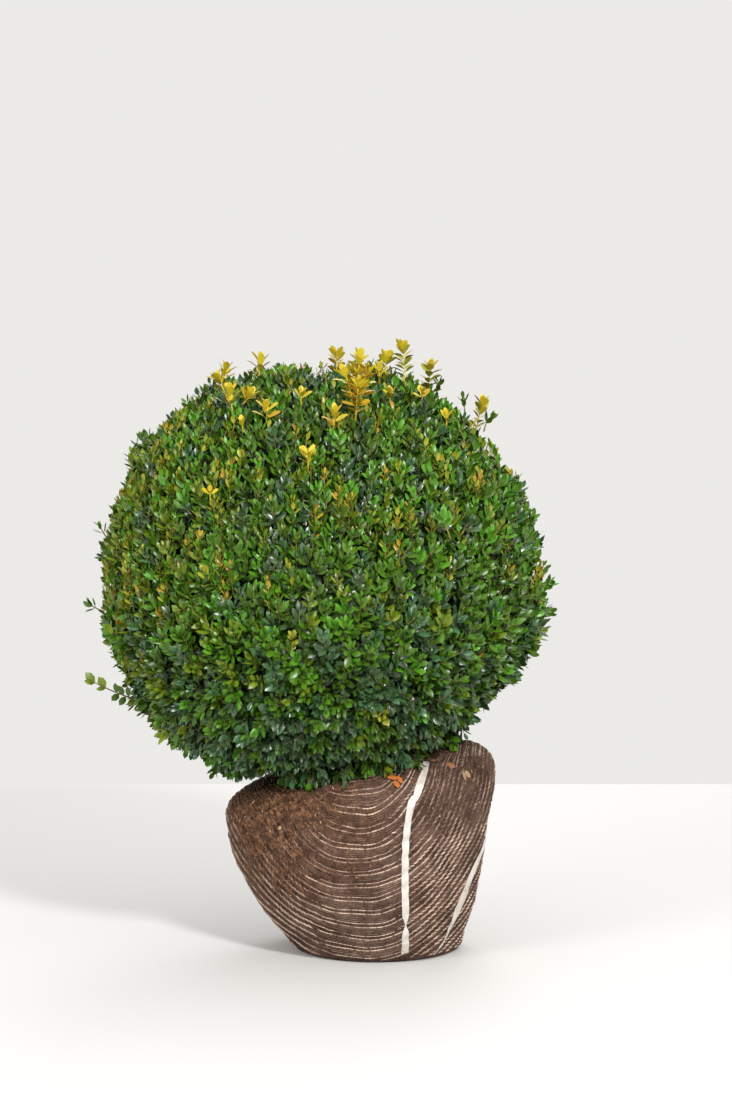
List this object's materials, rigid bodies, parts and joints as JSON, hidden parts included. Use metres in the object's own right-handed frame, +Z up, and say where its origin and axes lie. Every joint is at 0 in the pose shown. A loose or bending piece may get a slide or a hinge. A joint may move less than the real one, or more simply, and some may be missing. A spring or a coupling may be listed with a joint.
{
  "type": "box topiary ball",
  "caption": "Evergreen box shrub clipped to a ball, with golden unclipped shoots on top, standing on its tapered root ball in brown netting with two white tie strips.",
  "frame": {"origin": "middle of the flat underside of the root ball", "axes": "+Z up through the plant, +X to the right of the front view, front faces -Y"},
  "size_m": [0.558, 0.537, 0.7384],
  "materials": {
    "box_foliage": "satin",
    "golden_foliage": "satin",
    "bark": "matte",
    "netted_soil": "matte",
    "tie_strip": "satin"
  },
  "bodies": {
    "root": {"root_ball": "netted_soil", "tie_strip_long": "tie_strip", "tie_strip_short": "tie_strip", "main_stem": "bark", "bough_1": "bark", "bough_2": "bark", "bough_3": "bark", "bough_4": "bark", "bough_5": "bark", "bough_6": "bark", "foliage_ball": "box_foliage", "golden_shoot_tallest": "golden_foliage", "golden_shoot_right": "golden_foliage", "golden_shoot_middle": "golden_foliage", "golden_shoot_centre_top": "golden_foliage", "golden_shoot_left": "golden_foliage", "golden_shoot_far_left": "golden_foliage", "golden_shoot_far_right": "golden_foliage", "golden_shoot_cluster": "golden_foliage", "stray_sprig": "box_foliage"}
  },
  "joints": []
}
